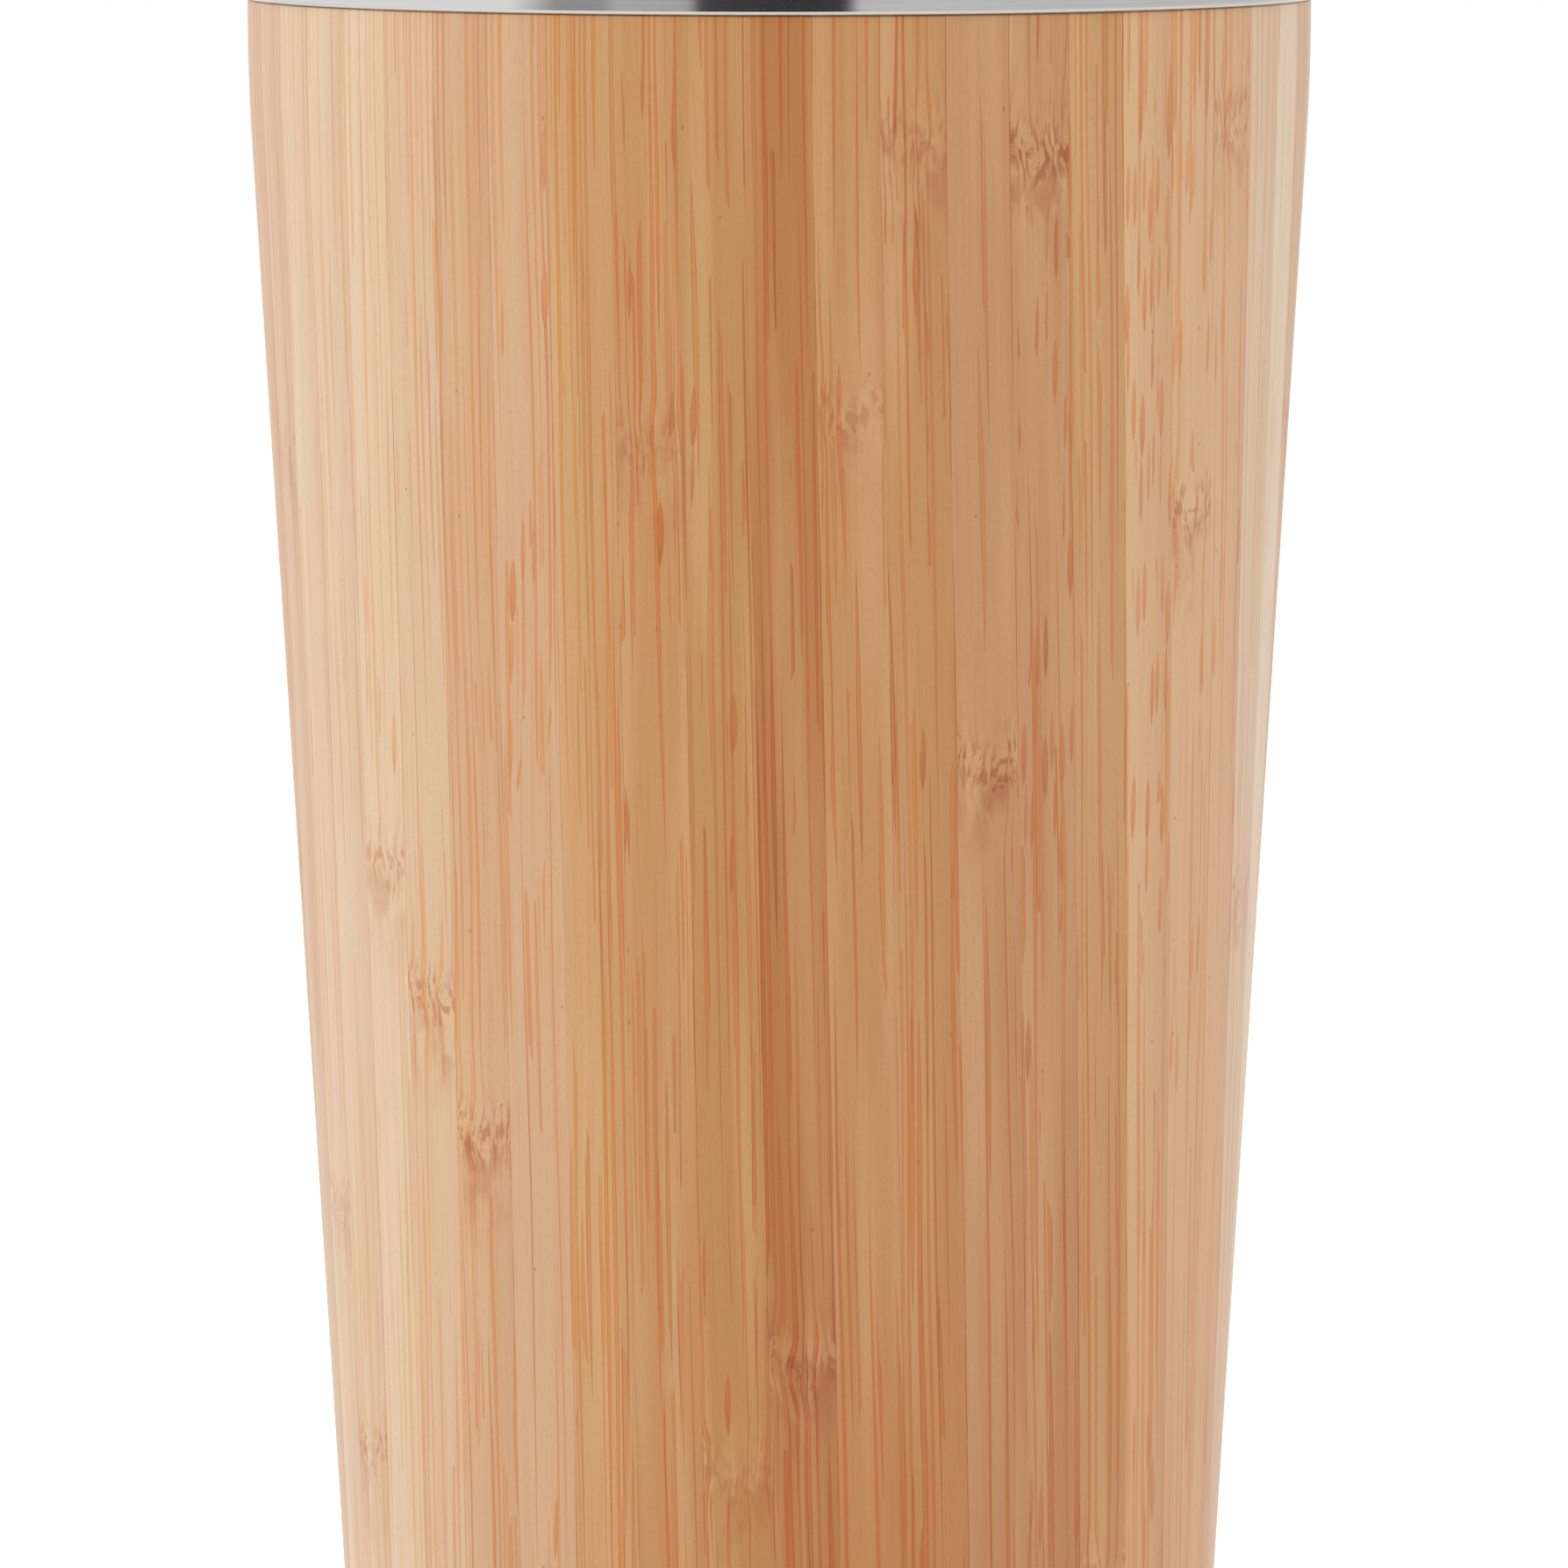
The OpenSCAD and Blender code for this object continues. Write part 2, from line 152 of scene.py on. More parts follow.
class Graph:
    """Short calls for a node tree. An input is a number, a tuple, a socket or a Term."""

    def __init__(self, tree):
        self.tree = tree
        tree.nodes.clear()

    def put(self, socket, value):
        """Set or link an input socket."""
        if isinstance(value, Term):
            value = value.socket
        if isinstance(value, bpy.types.NodeSocket):
            self.tree.links.new(value, socket)
        else:
            socket.default_value = value

    def node(self, kind, inputs=(), **settings):
        """New shader node. Inputs are keyed by number or name."""
        made = self.tree.nodes.new("ShaderNode" + kind)
        for key, value in settings.items():
            setattr(made, key, value)
        for key, value in dict(inputs).items():
            self.put(made.inputs[key], value)
        return made

    def term(self, node, output=0):
        return Term(self, node.outputs[output])

    def math(self, operation, a, b=0.0, c=0.0, clamp=False):
        node = self.node("Math", {0: a, 1: b, 2: c}, operation=operation, use_clamp=clamp)
        return self.term(node)

    def clamp(self, value):
        return self.math("ADD", value, 0.0, clamp=True)

    def step(self, value, low, high):
        """0 below low, 1 above high, smooth between; high may be the lower one."""
        inputs = {"Value": value, "From Min": low, "From Max": high}
        return self.term(self.node("MapRange", inputs, interpolation_type="SMOOTHSTEP"))

    def vector(self, x=0.0, y=0.0, z=0.0):
        return self.term(self.node("CombineXYZ", {0: x, 1: y, 2: z}))

    def split(self, vector):
        made = self.node("SeparateXYZ", {0: vector})
        return [self.term(made, i) for i in range(3)]

    def noise(self, vector, detail=2.0, roughness=0.5):
        inputs = {"Vector": vector, "Scale": 1.0, "Detail": detail, "Roughness": roughness}
        return self.term(self.node("TexNoise", inputs))

    def noise_flat(self, x, y, detail=2.0, roughness=0.5):
        """Noise on a plane. The factors on x and y say how many features there are to a millimetre."""
        inputs = {"Vector": self.vector(x, y), "Scale": 1.0, "Detail": detail, "Roughness": roughness}
        return self.term(self.node("TexNoise", inputs, noise_dimensions="2D"))

    def white(self, value):
        """Chance number that belongs to a value."""
        return self.term(self.node("TexWhiteNoise", {"W": value}, noise_dimensions="1D"), "Value")

    def mix(self, factor, a, b, blend="MIX"):
        inputs = {"Factor": factor, 6: a, 7: b}
        made = self.node("Mix", inputs, data_type="RGBA", blend_type=blend, clamp_factor=True)
        return self.term(made, 2)

    def blend(self, factor, a, b):
        """Number between a and b."""
        return self.term(self.node("Mix", {"Factor": factor, 2: a, 3: b}), 0)

    def ramp(self, value, stops, interpolation="LINEAR"):
        made = self.node("ValToRGB", {0: value})
        ramp = made.color_ramp
        ramp.interpolation = interpolation
        while len(ramp.elements) < len(stops):
            ramp.elements.new(0.5)
        for element, (place, colour) in zip(ramp.elements, stops):
            element.position = place
            element.color = colour
        return self.term(made)

    def bump(self, height, strength, distance):
        """Normal of a relief, whose distance is its depth in metres."""
        inputs = {"Height": height, "Strength": strength, "Distance": distance}
        return self.term(self.node("Bump", inputs))

    def surface(self, **inputs):
        """Principled shader on the output, with inputs named by words."""
        named = {key.replace("_", " "): value for key, value in inputs.items()}
        shader = self.node("BsdfPrincipled", named)
        out = self.node("OutputMaterial")
        self.tree.links.new(shader.outputs[0], out.inputs["Surface"])


def material(name):
    """New material and the graph of its nodes."""
    made = bpy.data.materials.new(name)
    made.use_nodes = True
    return made, Graph(made.node_tree)


def millimetres(graph):
    """Object coordinates in millimetres, as three terms."""
    place = graph.split(graph.node("TexCoord").outputs["Object"])
    return [part * 1000 for part in place]


# Colours of the metal, plastic and silicone
BRIGHT_STEEL = srgb(211, 210, 208)
SATIN_STEEL = srgb(200, 199, 197)
DULL_METAL = srgb(120, 118, 114)
LID_BLACK = srgb(26, 26, 27)
SLIDER_BLACK = srgb(20, 20, 21)
SEAL_WHITE = srgb(198, 198, 194)
FOOT_BLACK = srgb(46, 46, 48)

# Depths of relief, in metres
BOARD_RELIEF = 0.00005
BRUSHED_RELIEF = 0.00001
MOULDED_RELIEF = 0.00005
SILICONE_RELIEF = 0.00004
GLASS_RELIEF = 0.0001

# How far red, green and blue light spread inside silicone, in metres
SILICONE_SPREAD = (0.002, 0.002, 0.0018)

# Tones of the bamboo strips
TONES = {
    "white": srgb(231, 209, 184),
    "ivory": srgb(224, 198, 169),
    "cream": srgb(217, 186, 154),
    "pink": srgb(210, 170, 134),
    "rose": srgb(221, 180, 140),
    "tan": srgb(203, 157, 106),
    "honey": srgb(195, 143, 91),
    "warm": srgb(190, 138, 81),
    "brown": srgb(181, 120, 63),
    "grey": srgb(196, 146, 102),
}

# What lies over the tones: patches, the shaded side of a strip, pale flames at the nodes, specks, cut ends,
# the top one also a painted shadow under the steel band
PATCH_TONE = srgb(220, 184, 138)
SIDE_TONE = srgb(186, 126, 72)
FLAME_TONE = srgb(220, 178, 130)
SPECK_TONE = srgb(128, 74, 42)
CUT_END_AND_BAND_SHADOW_TONE = srgb(128, 82, 50)

# What fibres and joints do to the tone under them, and the tone that the board turns toward its lower right,
# per channel
ORANGE_FIBRE = (0.95, 0.5, 0.2, 1.0)
RED_FIBRE = (0.74, 0.4, 0.28, 1.0)
GOLDEN_CORE = (1.0, 0.86, 0.56, 1.0)
STREAK = (0.92, 0.64, 0.34, 1.0)
DARK_JOINT = (0.7, 0.36, 0.2, 1.0)
LOWER_RIGHT_TONE = (0.95, 0.8, 0.66, 1.0)

# Fibre bundles: spacing across, cell and length along, and half width in millimetres, then how far the
# cells stray from their rows, and how soft a bundle's edge is
LONG_FIBRES = {"spacing": 0.66, "cell": 74, "length": 74, "half_w": 0.14, "stray": 0.9, "soft": 0.02}
MID_FIBRES = {"spacing": 0.8, "cell": 26, "length": 25, "half_w": 0.18, "stray": 0.9, "soft": 0.02}
DASHES = {"spacing": 0.9, "cell": 7.5, "length": 5.2, "half_w": 0.23, "stray": 0.7, "soft": 0.05}

# Strips seen from the camera's side, from left to right. Lines and dashes are the shares of fibre cells
# that are drawn, node_depth is how far below the band the culm's node crosses, in millimetres, and
# node_strength is how plain that node is.
Strip = namedtuple("Strip", "tone lines dashes node_depth node_strength")
FIRST_STRIP = -9
# The tones are partly the strips' own and partly painted light: the paler strips at the left and far right
# carry a painted sheen, and the deeper ones at the front a painted fall-off of the light.
STRIPS = [
    Strip("cream", 0.5, 0.0, 30, 0.4),
    Strip("ivory", 0.6, 0.05, 88, 0.5),
    Strip("ivory", 0.8, 0.0, 106, 0.6),
    Strip("ivory", 0.5, 0.1, 60, 0.6),
    Strip("cream", 0.65, 0.0, 70, 0.7),
    Strip("pink", 0.8, 0.0, 80, 0.8),
    Strip("pink", 0.6, 0.1, 128, 0.4),
    Strip("tan", 0.85, 0.0, 140, 0.3),
    Strip("honey", 0.75, 0.1, 27, 0.35),
    Strip("warm", 0.9, 0.05, 105, 0.4),
    Strip("brown", 0.8, 0.0, 97, 0.6),
    Strip("honey", 0.45, 0.0, 25, 0.5),
    Strip("honey", 0.7, 0.1, 5, 0.5),
    Strip("grey", 0.25, 0.0, 52, 0.9),
    Strip("grey", 0.3, 0.7, 6, 1.0),
    Strip("tan", 0.65, 0.0, 117, 1.0),
    Strip("rose", 0.12, 1.0, 132, 0.4),
    Strip("rose", 0.25, 0.4, 35, 0.8),
    Strip("rose", 0.35, 0.1, 6, 0.6),
    Strip("ivory", 0.35, 0.0, 66, 0.5),
    Strip("white", 0.3, 0.1, 112, 0.5),
]


def strip_table(graph, index, values):
    """Ramp that gives each listed strip its own value."""
    count = len(values)
    stops = [(i / (count + 1), value) for i, value in enumerate(values)]
    place = (index - FIRST_STRIP + 0.5) / (count + 1)
    return graph.ramp(place, stops, "CONSTANT")


def fibres(g, across, along, seed, share, spacing, cell, length, half_w, stray, soft):
    """Tapered fibre bundles, one to a cell, of which a share is drawn.

    Gives the whole bundle, its paler core, and the place along it from -1 at its top to 1 at its foot.
    """
    shifted = across / spacing + seed
    staggered = along / cell + seed * 7.31
    inputs = {"Vector": g.vector(shifted, staggered), "Scale": 1.0, "Randomness": stray}
    cells = g.node("TexVoronoi", inputs, voronoi_dimensions="2D", feature="F1")
    near = g.split(cells.outputs["Position"])
    chance = g.split(cells.outputs["Color"])
    reach = (staggered - near[1]) * (cell * 2 / length)
    off = abs(shifted - near[0]) * spacing
    width = g.clamp(1 - reach * reach) * (half_w * 0.6 + chance[1] * half_w * 0.8)
    drawn = g.math("LESS_THAN", chance[0], share) * (0.55 + 0.45 * chance[2])
    body = g.step(off - width, soft, -0.03 - soft) * drawn
    core = g.step(off - width, -0.05, -0.1) * drawn
    return body, core, reach


def board_place(g):
    """Where a point lies on the flat board: millimetres across it, and along it down from the band."""
    x, y, z = millimetres(g)
    radius = g.math("SQRT", x * x + y * y)
    turn = g.math("ARCTAN2", x, 0 - y) - BOARD_TURN
    slope = g.math("WRAP", turn, math.pi, -math.pi) * SLANT_SIN
    from_apex = radius / SLANT_SIN
    across = from_apex * g.math("SINE", slope)
    along = APEX_TOP - from_apex * g.math("COSINE", slope)
    return across, along, z


def strip_facts(g, across, along):
    """The strip that a point is on: its tone, how much of each mark it has, and its nearness to the node."""
    strip = SimpleNamespace()
    place = (across - STRIP_SHIFT) / STRIP_W
    strip.index = g.math("FLOOR", place)
    strip.inside = place - strip.index
    strip.edge = (0.5 - abs(strip.inside - 0.5)) * STRIP_W
    strip.chance = g.white(strip.index * 1.37 + 0.21)
    strip.chance_two = g.white(strip.index * 2.11 + 5.4)
    strip.own = strip.chance * 40

    # Listed strips take their own values, and the others take chance ones
    middle = FIRST_STRIP + (len(STRIPS) - 1) / 2
    listed = g.math("LESS_THAN", abs(strip.index - middle), len(STRIPS) / 2)
    tone_here = strip_table(g, strip.index, [TONES[row.tone] for row in STRIPS])
    mark_rows = [(row.lines, row.dashes, row.node_strength, 1) for row in STRIPS]
    lines_here, dashes_here, node_here = g.split(strip_table(g, strip.index, mark_rows))
    depth_rows = [(row.node_depth / SLEEVE_H, 0, 0, 1) for row in STRIPS]
    depth_here = g.split(strip_table(g, strip.index, depth_rows))[0]
    tones = list(TONES.values())
    tone_any = g.ramp(strip.chance, [(i / len(tones), tone) for i, tone in enumerate(tones)], "CONSTANT")
    tone_other = g.mix(0.55, tone_any, TONES["pink"])

    # The board grows darker and warmer toward its lower right, and its dashes give way to lines below
    lower_right_share = g.step(along, 35, 135) * g.step(across, -8, 22)
    strip.tone = g.mix(lower_right_share * 0.8, g.mix(listed, tone_other, tone_here), LOWER_RIGHT_TONE, "MULTIPLY")
    ended = g.step(along, 45, 72)
    dashes_above = g.blend(listed, strip.chance * strip.chance * 0.6, dashes_here)
    strip.dashes = dashes_above * (1 - ended * 0.85)
    lines_above = g.blend(listed, 0.2 + 0.6 * strip.chance_two, lines_here)
    strip.lines = lines_above + dashes_above * ended * 0.4

    # Distance from the node, which is where a culm's joint crosses the strip
    strip.node_strength = g.blend(listed, 0.3 + 0.6 * strip.chance_two, node_here)
    node_along = g.blend(listed, g.white(strip.index * 3.7 + 1.9), depth_here) * SLEEVE_H
    from_middle = strip.inside - 0.5
    uneven = g.noise_flat(across * 0.45 + strip.own, along * 0.05) - 0.5
    bow = from_middle * from_middle * 4 + uneven * 4
    strip.from_node = along - node_along + bow
    squared = strip.from_node * strip.from_node
    strip.near_node = g.math("EXPONENT", 0 - squared / 22) * strip.node_strength
    strip.at_node = g.math("EXPONENT", 0 - squared / 4.5) * strip.node_strength
    return strip


def bamboo():
    """Laminated board: strips with their own tones, fibres and nodes, glue lines and lacquer."""
    made, g = material("lacquered_bamboo")
    across, along, z = board_place(g)
    strip = strip_facts(g, across, along)
    own = strip.own

    # Fibres, which swirl at the nodes
    wave = (g.noise_flat(across * 0.15 + own, along * 0.02, 1) - 0.5) * 0.9
    swirl = (g.noise_flat(across * 0.45 + own * 0.7, along * 0.14, 1) - 0.5) * 2.8 * strip.near_node
    bent = across + wave + swirl
    crowd = g.step(g.noise_flat(across * 0.3 + own, along * 0.035 + own, 1), 0.25, 0.75)
    seed = strip.chance * 37
    line_share = strip.lines * (0.25 + crowd * 1.2)
    dash_share = strip.dashes * (0.3 + crowd * 1.5) * (1 - g.clamp(strip.near_node * 1.6))
    leaning = bent + along * 0.03
    long_body, long_core, _ = fibres(g, bent, along, seed, line_share, **LONG_FIBRES)
    mid_body, mid_core, _ = fibres(g, bent, along, seed + 11.3, line_share * 0.6, **MID_FIBRES)
    dash_body, dash_core, dash_reach = fibres(g, leaning, along, seed + 5.7, dash_share, **DASHES)

    # The ground under them, from patches to single pores
    fine = g.noise_flat(bent * 5 + own, along * 0.05, 2, 0.6)
    hair = g.noise_flat(bent * 9 + own, along * 0.12, 2, 0.6)
    grain = g.noise_flat(bent * 0.9 + own, along * 0.012, 2)
    slow = g.noise_flat(across * 0.3 + own, along * 0.02, 1)
    pores = g.noise_flat(across * 5, along * 2.6, 1)
    patched = g.mix(g.step(slow, 0.4, 0.75) * 0.28, strip.tone, PATCH_TONE)
    sided = g.mix(g.step(strip.inside, 0.15, 1.0) * strip.chance_two * 0.28, patched, SIDE_TONE)
    shaded = g.mix(g.step(grain, 0.45, 0.7) * 0.14, sided, STREAK, "MULTIPLY")
    grained = g.mix(g.step(fine, 0.48, 0.72) * 0.2, shaded, STREAK, "MULTIPLY")
    haired = g.mix(g.step(hair, 0.5, 0.72) * 0.22, grained, STREAK, "MULTIPLY")
    pored = g.mix(g.step(pores, 0.35, 0.75) * 0.2, haired, STREAK, "MULTIPLY")
    flame = strip.near_node * g.step(g.noise_flat(bent * 0.5 + own, along * 0.16), 0.45, 0.65)
    flamed = g.mix(flame * 0.4, pored, FLAME_TONE)

    # Fibres show less on pale strips, and have golden cores
    contrast = 1.25 - 1.5 * g.split(strip.tone)[2]
    body = g.clamp(long_body + mid_body + dash_body) * contrast
    core = g.clamp(long_core + mid_core + dash_core * 0.45) * contrast
    warmth = g.step(g.noise_flat(bent * 0.6 + own * 1.3, along * 0.03), 0.42, 0.76)
    fibre_tone = g.mix(warmth, ORANGE_FIBRE, RED_FIBRE)
    rimmed = g.mix(body - core * 0.8, flamed, fibre_tone, "MULTIPLY")
    cored = g.mix(core, rimmed, GOLDEN_CORE, "MULTIPLY")
    footed = g.mix(dash_body * g.step(dash_reach, -0.2, 0.8) * 0.3, cored, RED_FIBRE, "MULTIPLY")

    # Nodes: a row of dark knuckles across the strip, with a reddish smudge under it
    knuckles = strip.at_node * g.step(g.noise_flat(bent * 2.3 + own, along * 0.75, 3), 0.47, 0.6)
    under = g.step(strip.from_node, -1.0, 1.5) * g.step(strip.from_node, 9.0, 3.0) * strip.node_strength
    smudge = under * g.step(g.noise_flat(bent * 0.5 + own * 0.3, along * 0.2, 3), 0.4, 0.65)
    smudged = g.mix(smudge * 0.6, footed, RED_FIBRE, "MULTIPLY")
    ticked = g.mix(knuckles * 0.92, smudged, DARK_JOINT, "MULTIPLY")

    # Glue lines and specks
    broken = g.step(g.noise_flat(strip.index * 3.1, along * 0.09, 3), 0.42, 0.6)
    glue = g.step(strip.edge, 0.07, 0.01) * broken
    glued = g.mix(glue * 0.75, ticked, DARK_JOINT, "MULTIPLY")
    place = g.vector(across * 0.35, along * 0.25)
    cells = g.node("TexVoronoi", {"Vector": place, "Scale": 1.0}, voronoi_dimensions="2D", feature="F1")
    rare = g.math("GREATER_THAN", g.split(cells.outputs["Color"])[0], 0.95)
    speck = g.step(g.term(cells, "Distance"), 0.05, 0.025) * rare
    specked = g.mix(speck * 0.4, glued, SPECK_TONE)

    # Cut ends of the board darken, as end grain does; the darkening at the top, under the steel band, is also
    # a painted shadow of the band
    cut_end_and_band_shadow = g.clamp(g.step(z, SLEEVE_Z + 0.4, SLEEVE_Z) + g.step(z, BAND_Z - 0.2, BAND_Z))
    colour = g.mix(cut_end_and_band_shadow * 0.4, specked, CUT_END_AND_BAND_SHADOW_TONE)

    relief = fine * 0.2 - body * 0.4 - glue * 0.6 - knuckles * 0.4 + grain * 0.3
    rough = 0.5 + (fine - 0.5) * 0.2 + body * 0.06
    g.surface(Base_Color=colour, Roughness=rough, IOR=1.45, Coat_Weight=0.28, Coat_Roughness=0.3,
              Coat_IOR=1.5, Normal=g.bump(relief, 0.3, BOARD_RELIEF))
    return made


def polished_spin(name, colour, rough, brush, spread, seed):
    """Steel that was brushed while it turned: fine rings, broader streaks and slight smears."""
    made, g = material(name)
    x, y, z = millimetres(g)
    radius = g.math("SQRT", x * x + y * y)
    turn = g.math("ARCTAN2", x, y)
    # Rises on walls and floors alike, so the rings run round both
    down = z + radius * 0.9
    rings = g.noise(g.vector(down * 9, turn * 1.3, seed), 4, 0.65)
    fine = g.noise(g.vector(down * 34, turn * 2.6, seed + 4), 2, 0.6)
    coarse = g.noise(g.vector(down * 1.6, turn * 0.7, seed + 9), 4, 0.7)
    smear = g.noise(g.vector(x * 0.05, y * 0.05, z * 0.05), 3)
    worn = (colour[0] * 0.8, colour[1] * 0.8, colour[2] * 0.81, 1)
    ringed = g.mix(g.step(rings, 0.3, 0.75) * spread, colour, worn)
    shade = g.mix(g.step(coarse, 0.4, 0.68) * spread * 1.6, ringed, worn)
    roughness = rough + (rings - 0.5) * brush + (fine - 0.5) * brush * 0.6 + g.step(smear, 0.5, 0.75) * 0.03
    height = rings * 0.6 + fine * 0.4
    g.surface(Base_Color=shade, Metallic=1.0, Roughness=roughness,
              Normal=g.bump(height, 0.12, BRUSHED_RELIEF))
    return made


def moulded(name, colour, rough, grain, specular):
    """Injection-moulded plastic: eroded grain, slight gloss changes and paler rubbed spots."""
    made, g = material(name)
    x, y, z = millimetres(g)
    place = g.vector(x, y, z)
    pits = g.node("TexVoronoi", {"Vector": place, "Scale": 3.2}, feature="SMOOTH_F1")
    cloud = g.noise(g.vector(x * 0.12, y * 0.12, z * 0.12), 3)
    fine = g.noise(g.vector(x * 6, y * 6, z * 6), 2)
    lifted = tuple(min(1, part * 1.5 + 0.004) for part in colour[:3]) + (1,)
    shade = g.mix(g.step(cloud, 0.35, 0.75) * 0.35, colour, lifted)
    worn = g.mix(g.step(fine, 0.62, 0.8) * 0.3, shade, lifted)
    roughness = rough + (cloud - 0.5) * 0.12 + (fine - 0.5) * 0.1
    height = g.term(pits, "Distance") * 0.7 + fine * 0.3
    g.surface(Base_Color=worn, Roughness=roughness, Specular_IOR_Level=specular,
              Normal=g.bump(height, grain, MOULDED_RELIEF))
    return made


def rubber(name, colour, rough, dusty, clear):
    """Silicone: matt and slightly dusty. The share called clear lets light spread inside it."""
    made, g = material(name)
    x, y, z = millimetres(g)
    dust = g.noise(g.vector(x * 0.35, y * 0.35, z * 0.35), 4, 0.6)
    fine = g.noise(g.vector(x * 9, y * 9, z * 9), 2)
    pale = tuple(part + (1 - part) * 0.25 for part in colour[:3]) + (1,)
    shade = g.mix(g.step(dust, 0.45, 0.8) * dusty, colour, pale)
    roughness = rough + (dust - 0.5) * 0.18
    g.surface(Base_Color=shade, Roughness=roughness, Subsurface_Weight=clear,
              Subsurface_Radius=SILICONE_SPREAD, Normal=g.bump(fine, 0.15, SILICONE_RELIEF))
    return made


def glass():
    """Dark sealing glass with faint clouds."""
    made, g = material("sealing_glass")
    x, y, z = millimetres(g)
    bubbles = g.noise(g.vector(x * 1.5, y * 1.5, z * 1.5), 3)
    shade = g.mix(g.step(bubbles, 0.4, 0.7), srgb(38, 44, 42), srgb(66, 74, 68))
    g.surface(Base_Color=shade, Roughness=0.12 + bubbles * 0.1, Normal=g.bump(bubbles, 0.2, GLASS_RELIEF))
    return made


def lathe(name, profile, segments, uv_rows, made):
    """Closed profile of (radius, height) points in millimetres, turned about the axis.

    uv_rows gives each profile side its two heights in the map; the map's seam is at the back.
    """
    count = len(profile)
    points = []
    for j in range(segments):
        angle = 2 * math.pi * j / segments
        right, back = math.sin(angle), math.cos(angle)
        points += [Vector((r * right, r * back, h)) * MM for r, h in profile]
    faces = []
    corners = []
    for j in range(segments):
        after = (j + 1) % segments
        for i in range(count):
            up = (i + 1) % count
            faces.append((j * count + i, after * count + i, after * count + up, j * count + up))
            low, high = uv_rows[i]
            here, there = j / segments, (j + 1) / segments
            corners += [(here, low), (there, low), (there, high), (here, high)]
    mesh = bpy.data.meshes.new(name)
    mesh.from_pydata(points, [], faces)
    layer = mesh.uv_layers.new(name="OFBake")
    for loop, corner in zip(layer.data, corners):
        loop.uv = corner
    mesh.shade_smooth()
    mesh.set_sharp_from_angle(angle=SHARP_ANGLE)
    mesh.materials.append(made)
    piece = bpy.data.objects.new(name, mesh)
    bpy.context.scene.collection.objects.link(piece)
    return piece


def arc(centre, radius, start, end, steps):
    """Points of an arc between two angles in degrees, (radius, height) about the centre."""
    found = []
    for i in range(steps + 1):
        angle = math.radians(start + (end - start) * i / steps)
        found.append((centre[0] + radius * math.cos(angle), centre[1] + radius * math.sin(angle)))
    return found


def sleeve_r(depth):
    """Outer radius of the sleeve at a depth below the band."""
    if depth < SLEEVE_CURVE_H:
        return SLEEVE_TOP_R - TAPER * depth * depth / (2 * SLEEVE_CURVE_H)
    return SLEEVE_TOP_R - TAPER * (depth - SLEEVE_CURVE_H / 2)


def bamboo_sleeve():
    """Sleeve with the CAD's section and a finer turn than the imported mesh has."""
    def bore_r(z):
        return SLEEVE_BOTTOM_R - SLEEVE_WALL + BORE_SLOPE * (z - SLEEVE_Z)

    edge = SLEEVE_EDGE_R
    rebate_z = SLEEVE_Z + REBATE_H
    rebate_r = bore_r(rebate_z) + REBATE_GROW
    foot = arc((sleeve_r(SLEEVE_H) - edge, SLEEVE_Z + edge), edge, *FOOT_EDGE, EDGE_STEPS)
    wall = [(sleeve_r(depth), BAND_Z - depth) for depth in TAPER_ROWS]
    curve = [(sleeve_r(depth), BAND_Z - depth) for depth in CURVE_ROWS]
    head = arc((SLEEVE_TOP_R - edge, BAND_Z - edge), edge, *HEAD_EDGE, EDGE_STEPS)
    outside = foot + wall + curve + head
    inside = [
        (bore_r(BAND_Z) + BORE_EASE, BAND_Z),
        (bore_r(BAND_Z - BORE_EASE), BAND_Z - BORE_EASE),
        (bore_r(rebate_z), rebate_z),
        (rebate_r, rebate_z),
        (rebate_r, SLEEVE_Z + BORE_EASE),
        (rebate_r + BORE_EASE, SLEEVE_Z),
    ]
    profile = outside + inside
    lengths = [math.dist(a, b) for a, b in zip(profile, profile[1:] + profile[:1])]
    turned = len(outside) - 1
    rows = []
    for first, last, (low, high) in ((0, turned, OUTSIDE_ROWS), (turned, len(profile), INSIDE_ROWS)):
        whole = sum(lengths[first:last])
        run = 0.0
        for length in lengths[first:last]:
            rows.append((low + (high - low) * run / whole, low + (high - low) * (run + length) / whole))
            run += length
    piece = lathe("bamboo_sleeve_turned", profile, SLEEVE_STEPS, rows, bamboo())
    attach(piece, "cup")
    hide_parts("bamboo_sleeve")


def dress(node, made):
    """Give a CAD node its material."""
    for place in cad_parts[node].material_slots:
        place.material = made


def floor():
    """White floor that keeps the object's shadow. A little glow makes it white to the camera alone."""
    turns = [2 * math.pi * i / FLOOR_SIDES for i in range(FLOOR_SIDES)]
    ring = [(FLOOR_R * math.cos(turn), FLOOR_R * math.sin(turn), 0) for turn in turns]
    mesh = bpy.data.meshes.new("floor")
    mesh.from_pydata(ring, [], [tuple(range(FLOOR_SIDES))])
    made, g = material("white_paper")
    x, y, _ = millimetres(g)
    fibre = g.noise(g.vector(x * 0.8, y * 0.8), 4)
    paper = g.mix(g.step(fibre, 0.3, 0.8) * 0.1, FLOOR_PALE, FLOOR_DULL)
    diffuse = g.node("BsdfDiffuse", {"Color": paper})
    path = g.node("LightPath").outputs
    mirrored = g.math("ADD", path["Is Glossy Ray"], path["Is Transmission Ray"])
    seen = g.math("MULTIPLY", path["Is Camera Ray"], FLOOR_GLOW_SEEN)
    strength = seen + mirrored * FLOOR_GLOW_MIRRORED
    lift = g.node("Emission", {"Color": (1, 1, 1, 1), "Strength": strength})
    both = g.node("AddShader", {0: diffuse.outputs[0], 1: lift.outputs[0]})
    out = g.node("OutputMaterial")
    g.put(out.inputs["Surface"], both.outputs[0])
    mesh.materials.append(made)
    piece = bpy.data.objects.new("floor", mesh)
    piece.location.z = -FLOOR_DROP
    bpy.context.scene.collection.objects.link(piece)


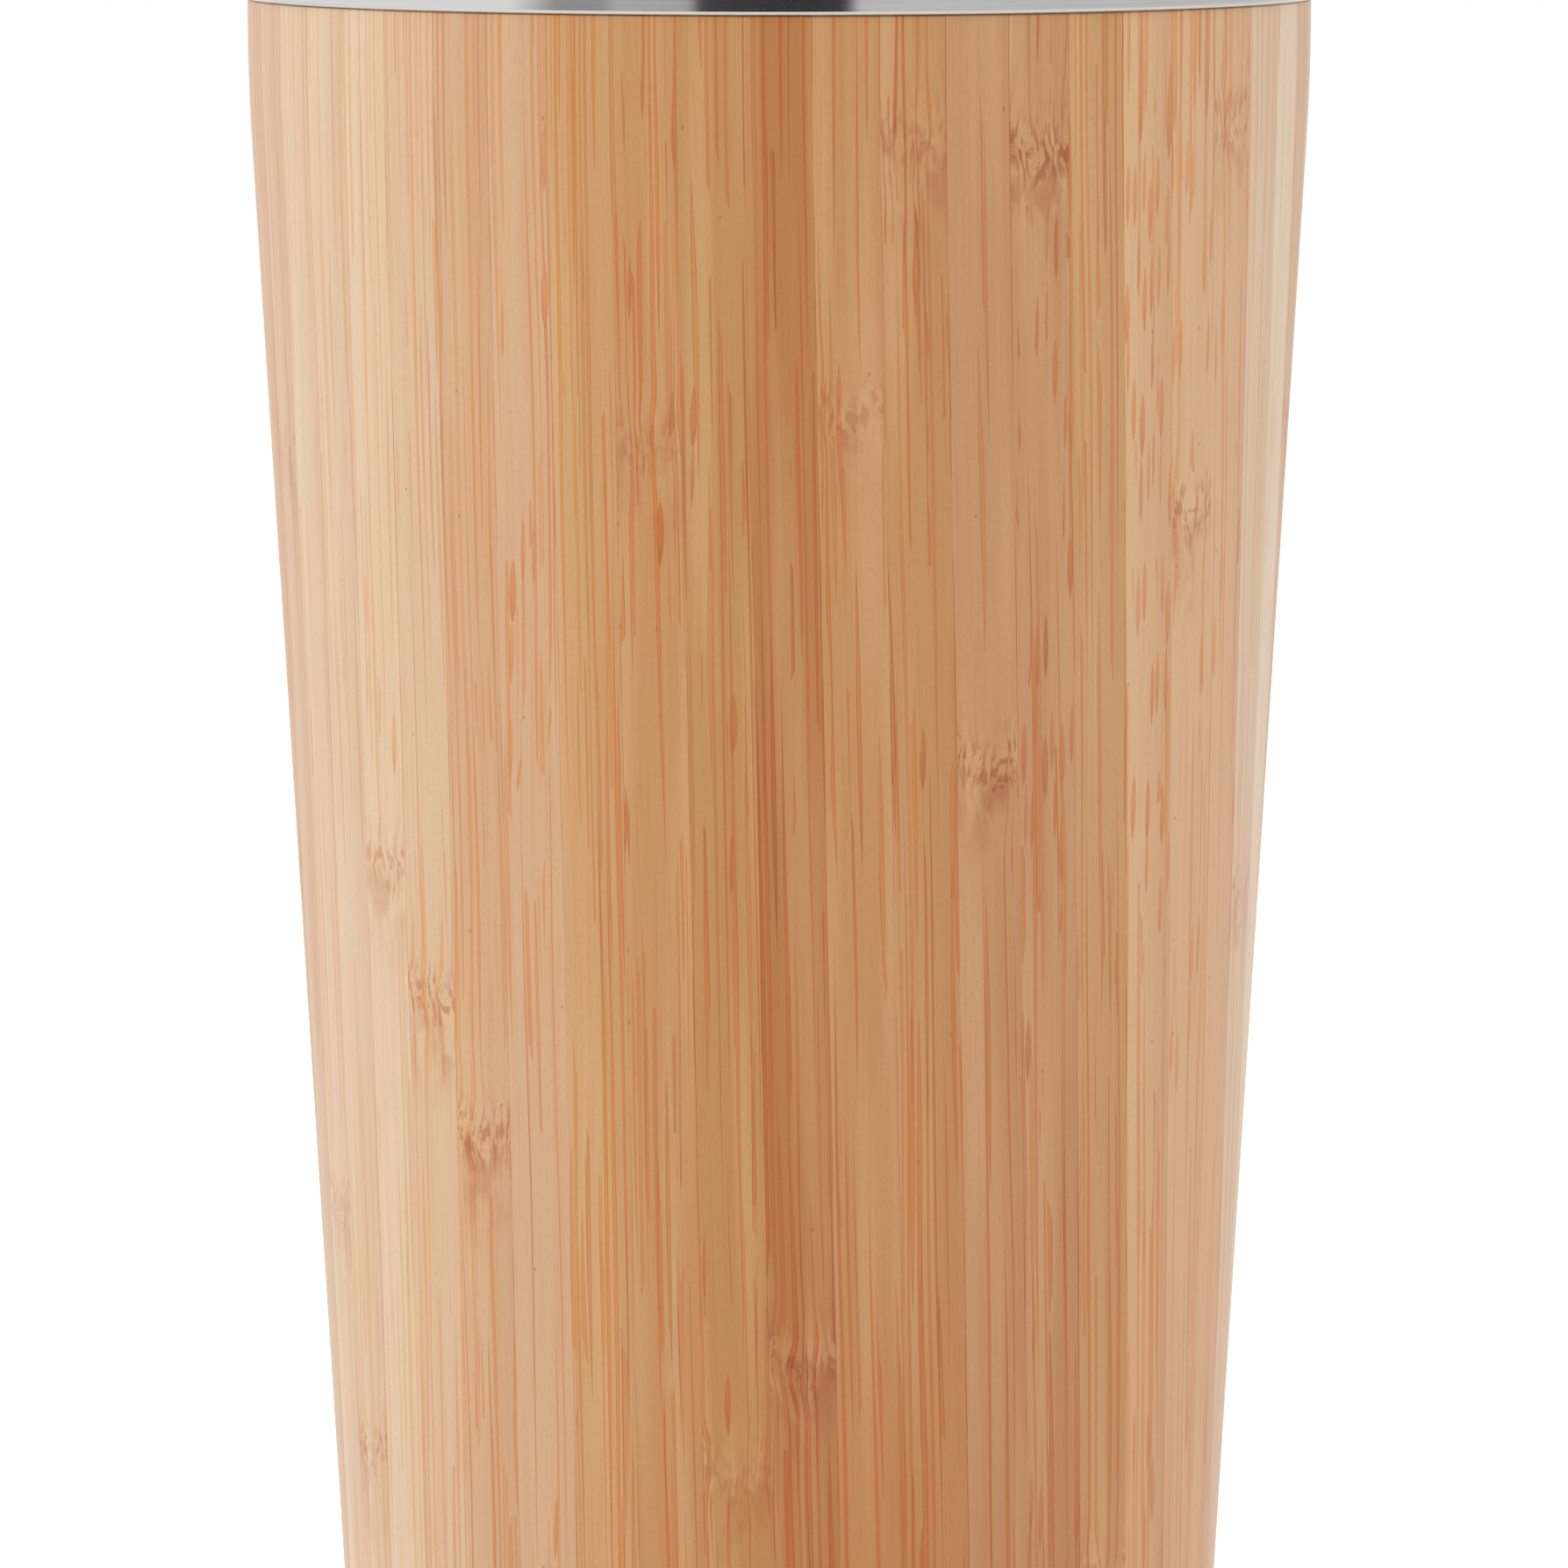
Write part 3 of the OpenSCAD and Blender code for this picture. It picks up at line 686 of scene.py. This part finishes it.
def studio():
    """World light by direction: a large soft box at the left, a dark gap at the camera, grey at the right."""
    world = bpy.data.worlds.new("studio")
    bpy.context.scene.world = world
    world.use_nodes = True
    g = Graph(world.node_tree)
    x, y, z = g.split(g.node("TexCoord").outputs["Generated"])
    around = g.math("ARCTAN2", x, 0 - y) / (2 * math.pi) + 0.5
    stops = [((turn + 180) / 360, (level, level, level, 1)) for turn, level in RING_LEVELS]
    ring = g.ramp(around, stops)
    up = g.step(z, 0.35, 0.75)
    colour = g.mix(up, ring, (TOP_LEVEL, TOP_LEVEL, TOP_LEVEL, 1))
    light = g.node("Background", {"Color": colour, "Strength": 1.0})
    white = g.node("Background", {"Color": (1, 1, 1, 1), "Strength": 1.0})
    path = g.node("LightPath").outputs
    seen = g.math("MAXIMUM", path["Is Camera Ray"], path["Is Transmission Ray"])
    pick = g.node("MixShader", {0: seen, 1: light.outputs[0], 2: white.outputs[0]})
    out = g.node("OutputWorld")
    g.put(out.inputs["Surface"], pick.outputs[0])


def soft_lamp(name, place, aim, size, power):
    """Round area lamp that points from its place to its aim."""
    lamp = bpy.data.lights.new(name, "AREA")
    lamp.shape = "DISK"
    lamp.size = size
    lamp.energy = power
    piece = bpy.data.objects.new(name, lamp)
    piece.location = place
    piece.rotation_euler = (Vector(aim) - Vector(place)).to_track_quat("-Z", "Y").to_euler()
    bpy.context.scene.collection.objects.link(piece)


def camera():
    """The photograph's view: from far away and a little above the rim, so the band's edge is almost flat."""
    seen = bpy.data.cameras.new("camera")
    seen.sensor_width = SENSOR_W
    seen.lens = CAMERA_LENS
    seen.clip_start = NEAR_CLIP
    seen.clip_end = FAR_CLIP
    piece = bpy.data.objects.new("camera", seen)
    piece.location = (CAMERA_X, -CAMERA_DISTANCE, CAMERA_Z)
    piece.rotation_euler = (math.pi / 2 - CAMERA_PITCH, 0, 0)
    bpy.context.scene.collection.objects.link(piece)
    bpy.context.scene.camera = piece


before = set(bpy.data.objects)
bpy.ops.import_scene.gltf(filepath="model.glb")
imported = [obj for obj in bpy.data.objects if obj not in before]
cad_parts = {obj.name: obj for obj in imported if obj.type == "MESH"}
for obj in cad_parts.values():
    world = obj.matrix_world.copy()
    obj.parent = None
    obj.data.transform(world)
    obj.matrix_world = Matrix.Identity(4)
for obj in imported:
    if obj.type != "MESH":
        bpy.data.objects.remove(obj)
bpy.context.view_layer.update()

camera()
studio()
floor()
soft_lamp("key", KEY_PLACE, KEY_AIM, KEY_SIZE, KEY_POWER)

bamboo_sleeve()
steel_band = polished_spin("brushed_band", BRIGHT_STEEL, rough=0.08, brush=0.04, spread=0.3, seed=1.0)
dress("outer_shell", steel_band)
dress("inner_cup", polished_spin("satin_cup", SATIN_STEEL, rough=0.24, brush=0.12, spread=0.3, seed=3.0))
steel_base = polished_spin("brushed_base", SATIN_STEEL, rough=0.24, brush=0.12, spread=0.3, seed=5.0)
dress("base_cap", steel_base)
dress("base_disc", steel_base)
dress("getter", polished_spin("getter_ring", DULL_METAL, rough=0.4, brush=0.1, spread=0.3, seed=7.0))
dress("vacuum_seal", glass())
lid_plastic = moulded("lid_plastic", LID_BLACK, rough=0.46, grain=0.35, specular=0.42)
dress("lid_body", lid_plastic)
dress("slider_clip", lid_plastic)
dress("slider", moulded("slider_plastic", SLIDER_BLACK, rough=0.32, grain=0.25, specular=0.45))
silicone = rubber("seal_silicone", SEAL_WHITE, rough=0.55, dusty=0.3, clear=0.25)
dress("lid_seal", silicone)
dress("slider_seal", silicone)
dress("foot_pad", rubber("foot_silicone", FOOT_BLACK, rough=0.7, dusty=0.1, clear=0.0))

scene = bpy.context.scene
scene.view_settings.view_transform = "Standard"
